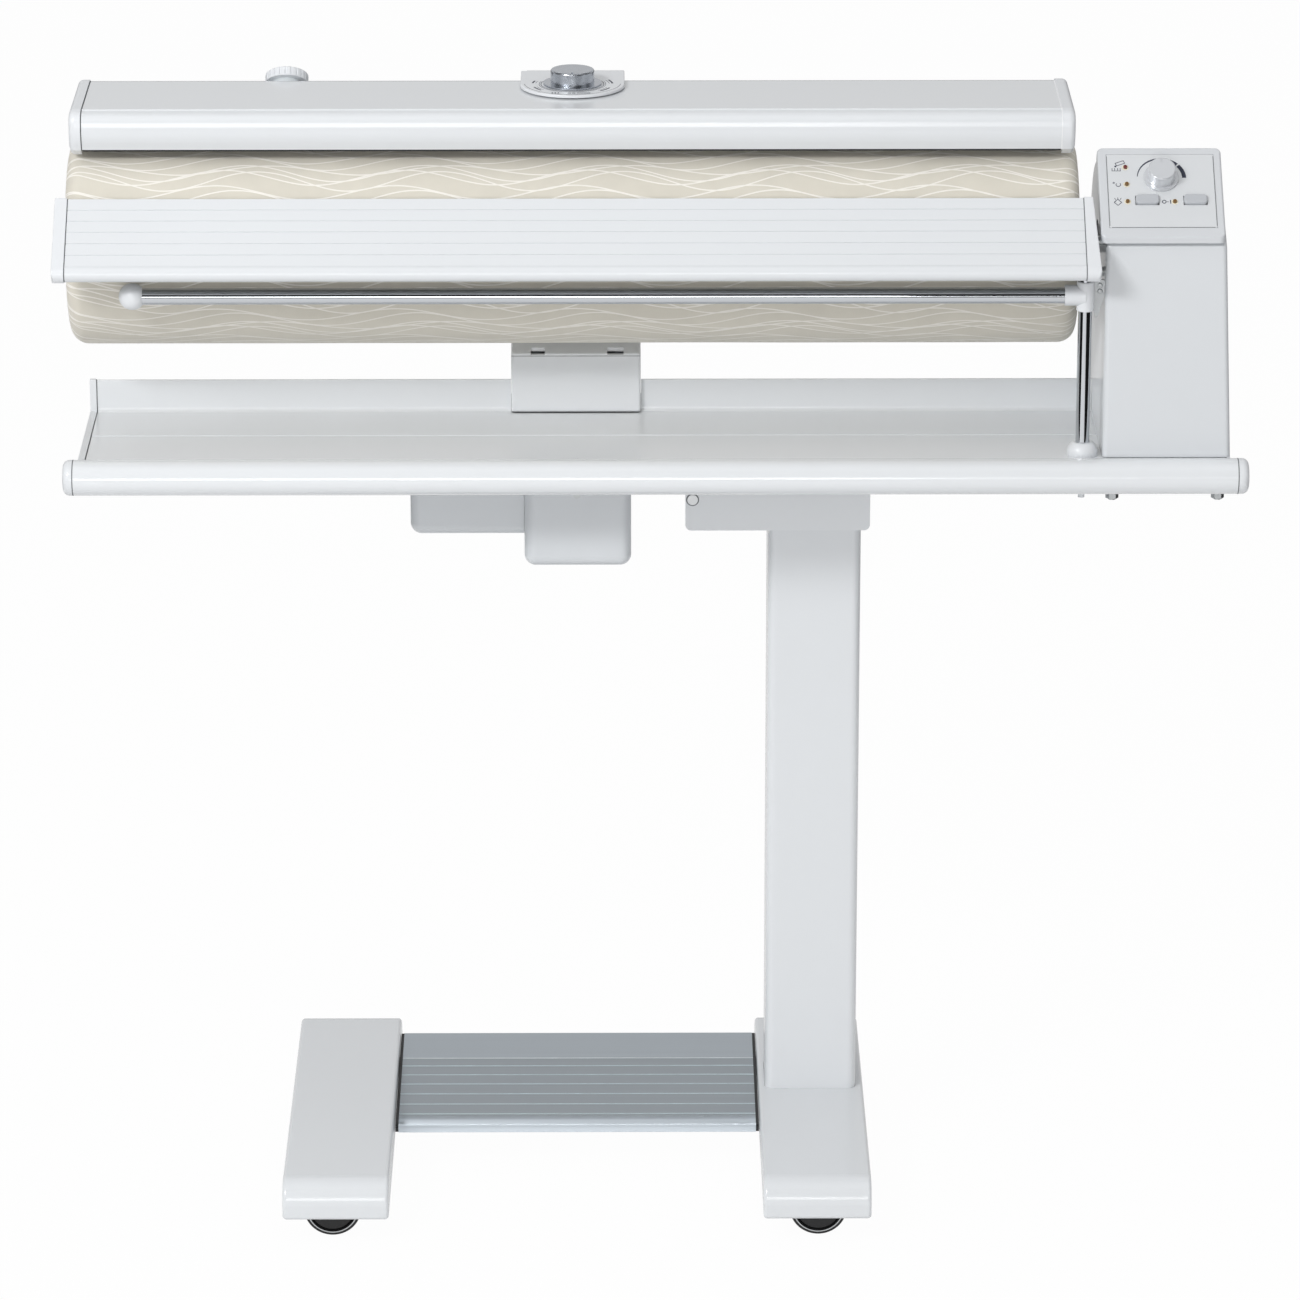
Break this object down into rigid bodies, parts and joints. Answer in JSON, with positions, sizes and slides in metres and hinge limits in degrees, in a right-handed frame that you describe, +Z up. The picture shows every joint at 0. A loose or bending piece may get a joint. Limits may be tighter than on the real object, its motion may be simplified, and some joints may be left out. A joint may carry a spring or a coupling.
{
  "type": "flatwork ironer",
  "caption": "Standing rotary ironer with a padded driven roller, a heated curved shoe, feed board, tray, foot pedal and a wheeled stand that folds.",
  "frame": {"origin": "on the floor under the middle of the machine's bounding box", "axes": "+X to the operator's right along the roller, +Y away from the operator, +Z up"},
  "size_m": [0.976, 0.39, 0.9528],
  "materials": {
    "white_enamel": "satin white powder coat on sheet steel",
    "white_plastic": "satin white moulding",
    "light_grey_plastic": "satin light grey moulding",
    "light_grey_enamel": "satin light grey powder coat on sheet steel",
    "satin_aluminium": "satin anodised, fine extrusion lines",
    "polished_aluminium": "polished heated surface",
    "zinc_steel": "zinc plated",
    "ground_steel": "ground",
    "chrome": "polished chrome plate",
    "black_plastic": "hard black wheel compound",
    "roller_cloth": "cotton cover over padding",
    "silver_plastic": "silver metallic",
    "grey_plastic": "fine-textured grey",
    "panel_grey": "fine-textured light grey",
    "lens": "tinted clear",
    "motor_paint": "dark grey enamel",
    "circuit": "green solder mask",
    "tank_plastic": "milky translucent",
    "dark_plastic": "satin dark grey"
  },
  "bodies": {
    "stand": {"foot_covers": "white_enamel", "base_frame": "zinc_steel", "wheel_axles": "ground_steel", "column_tube": "white_enamel", "column_bracket": "light_grey_enamel", "hinge_pin": "ground_steel", "fold_lock_sleeve": "zinc_steel", "pedal_shaft": "ground_steel", "pedal_switches": "dark_plastic"},
    "wheel_front_left": {"wheel_front_left": "black_plastic"},
    "wheel_rear_left": {"wheel_rear_left": "black_plastic"},
    "wheel_front_right": {"wheel_front_right": "black_plastic"},
    "wheel_rear_right": {"wheel_rear_right": "black_plastic"},
    "pedal": {"pedal_bar": "satin_aluminium"},
    "fold_lock": {"fold_lock_bolt": "dark_plastic"},
    "head": {"head_frame": "zinc_steel", "tray": "white_enamel", "tray_ends": "white_plastic", "drive_cover_deep": "light_grey_plastic", "drive_cover_shallow": "light_grey_plastic", "arm_housing": "white_plastic", "arm_pivot_bracket": "zinc_steel", "press_gearmotor": "motor_paint", "circuit_boards": "circuit", "control_box": "white_enamel", "panel_cap": "white_plastic", "panel_plate": "panel_grey", "led_lenses": "lens", "bearing_frame": "zinc_steel", "roller_bearings": "ground_steel", "roller_motor": "motor_paint", "cable_gland": "dark_plastic", "head_screws": "zinc_steel", "feed_board": "white_enamel", "feed_board_ends": "white_plastic", "feed_board_carrier": "zinc_steel", "rail_socket": "white_plastic"},
    "roller": {"roller_padding": "roller_cloth", "roller_core": "satin_aluminium", "roller_shaft": "ground_steel", "roller_gear": "grey_plastic"},
    "pinion": {"motor_pinion": "ground_steel"},
    "shoe": {"shoe_plate": "polished_aluminium", "press_arm": "zinc_steel", "heating_rods": "ground_steel", "shoe_cover": "white_enamel", "shoe_cover_ends": "white_plastic", "arm_cover": "white_plastic", "thermostats": "dark_plastic", "water_tank": "tank_plastic"},
    "cam": {"press_cam": "ground_steel"},
    "knob": {"temperature_knob": "silver_plastic"},
    "cap": {"filler_cap": "white_plastic"},
    "dial": {"speed_dial": "silver_plastic"},
    "button_left": {"push_button_left": "grey_plastic"},
    "button_right": {"push_button_right": "grey_plastic"},
    "rail": {"rail_post": "chrome", "rail_elbow": "white_plastic", "rail_bar": "chrome", "rail_ball": "white_plastic"}
  },
  "joints": [
    {"name": "wheel_front_left_spin", "type": "hinge", "parent": "stand", "child": "wheel_front_left", "pos_m": [-0.27, -0.162, 0.024], "axis": [0, 1, 0], "continuous": true},
    {"name": "wheel_rear_left_spin", "type": "hinge", "parent": "stand", "child": "wheel_rear_left", "pos_m": [-0.27, 0.162, 0.024], "axis": [0, 1, 0], "continuous": true},
    {"name": "wheel_front_right_spin", "type": "hinge", "parent": "stand", "child": "wheel_front_right", "pos_m": [0.1385, -0.162, 0.024], "axis": [0, 1, 0], "continuous": true},
    {"name": "wheel_rear_right_spin", "type": "hinge", "parent": "stand", "child": "wheel_rear_right", "pos_m": [0.1385, 0.162, 0.024], "axis": [0, 1, 0], "continuous": true},
    {"name": "pedal_press", "type": "hinge", "parent": "stand", "child": "pedal", "pos_m": [-0.065, 0.148, 0.0385], "axis": [1, 0, 0], "range_deg": [0, 2.5], "stiffness_Nm_per_rad": 10, "springref_deg": -8.59},
    {"name": "fold_lock_push", "type": "slide", "parent": "stand", "child": "fold_lock", "axis": [0, -1, 0], "range_m": [0, 0.009]},
    {"name": "head_fold", "type": "hinge", "parent": "stand", "child": "head", "pos_m": [0.0334, 0.04, 0.598], "axis": [0, -1, 0], "range_deg": [0, 90]},
    {"name": "roller_turn", "type": "hinge", "parent": "head", "child": "roller", "pos_m": [0, 0.014, 0.8166], "axis": [1, 0, 0], "continuous": true},
    {"name": "pinion_turn", "type": "hinge", "parent": "head", "child": "pinion", "pos_m": [0.398, 0.03214, 0.74383], "axis": [1, 0, 0], "continuous": true},
    {"name": "shoe_press", "type": "hinge", "parent": "head", "child": "shoe", "pos_m": [-0.0635, 0.128, 0.668], "axis": [1, 0, 0], "range_deg": [0, 3.5]},
    {"name": "cam_turn", "type": "hinge", "parent": "head", "child": "cam", "pos_m": [-0.032, 0.055, 0.6], "axis": [1, 0, 0], "range_deg": [0, 180]},
    {"name": "temperature_turn", "type": "hinge", "parent": "shoe", "child": "knob", "pos_m": [-0.0661, 0.048, 0.945], "axis": [0, 0, 1], "range_deg": [-135, 135]},
    {"name": "filler_cap_lift", "type": "slide", "parent": "shoe", "child": "cap", "axis": [0, 0.6428, 0.766], "range_m": [0, 0.03]},
    {"name": "speed_turn", "type": "hinge", "parent": "head", "child": "dial", "pos_m": [0.4161, -0.04025, 0.88231], "axis": [0, -0.6157, 0.788], "range_deg": [-135, 135]},
    {"name": "push_button_left_press", "type": "slide", "parent": "head", "child": "button_left", "axis": [0, 0.6157, -0.788], "range_m": [0, 0.002], "stiffness_N_per_m": 500, "springref_m": -0.001},
    {"name": "push_button_right_press", "type": "slide", "parent": "head", "child": "button_right", "axis": [0, 0.6157, -0.788], "range_m": [0, 0.002], "stiffness_N_per_m": 500, "springref_m": -0.001},
    {"name": "rail_swing", "type": "hinge", "parent": "head", "child": "rail", "pos_m": [0.3528, -0.086, 0.72], "axis": [0, 0, 1], "range_deg": [0, 100]}
  ],
  "couplings": [
    {"joint": "pinion_turn", "follows": "roller_turn", "ratio": -4},
    {"joint": "cam_turn", "follows": "shoe_press", "ratio": 51.429}
  ]
}
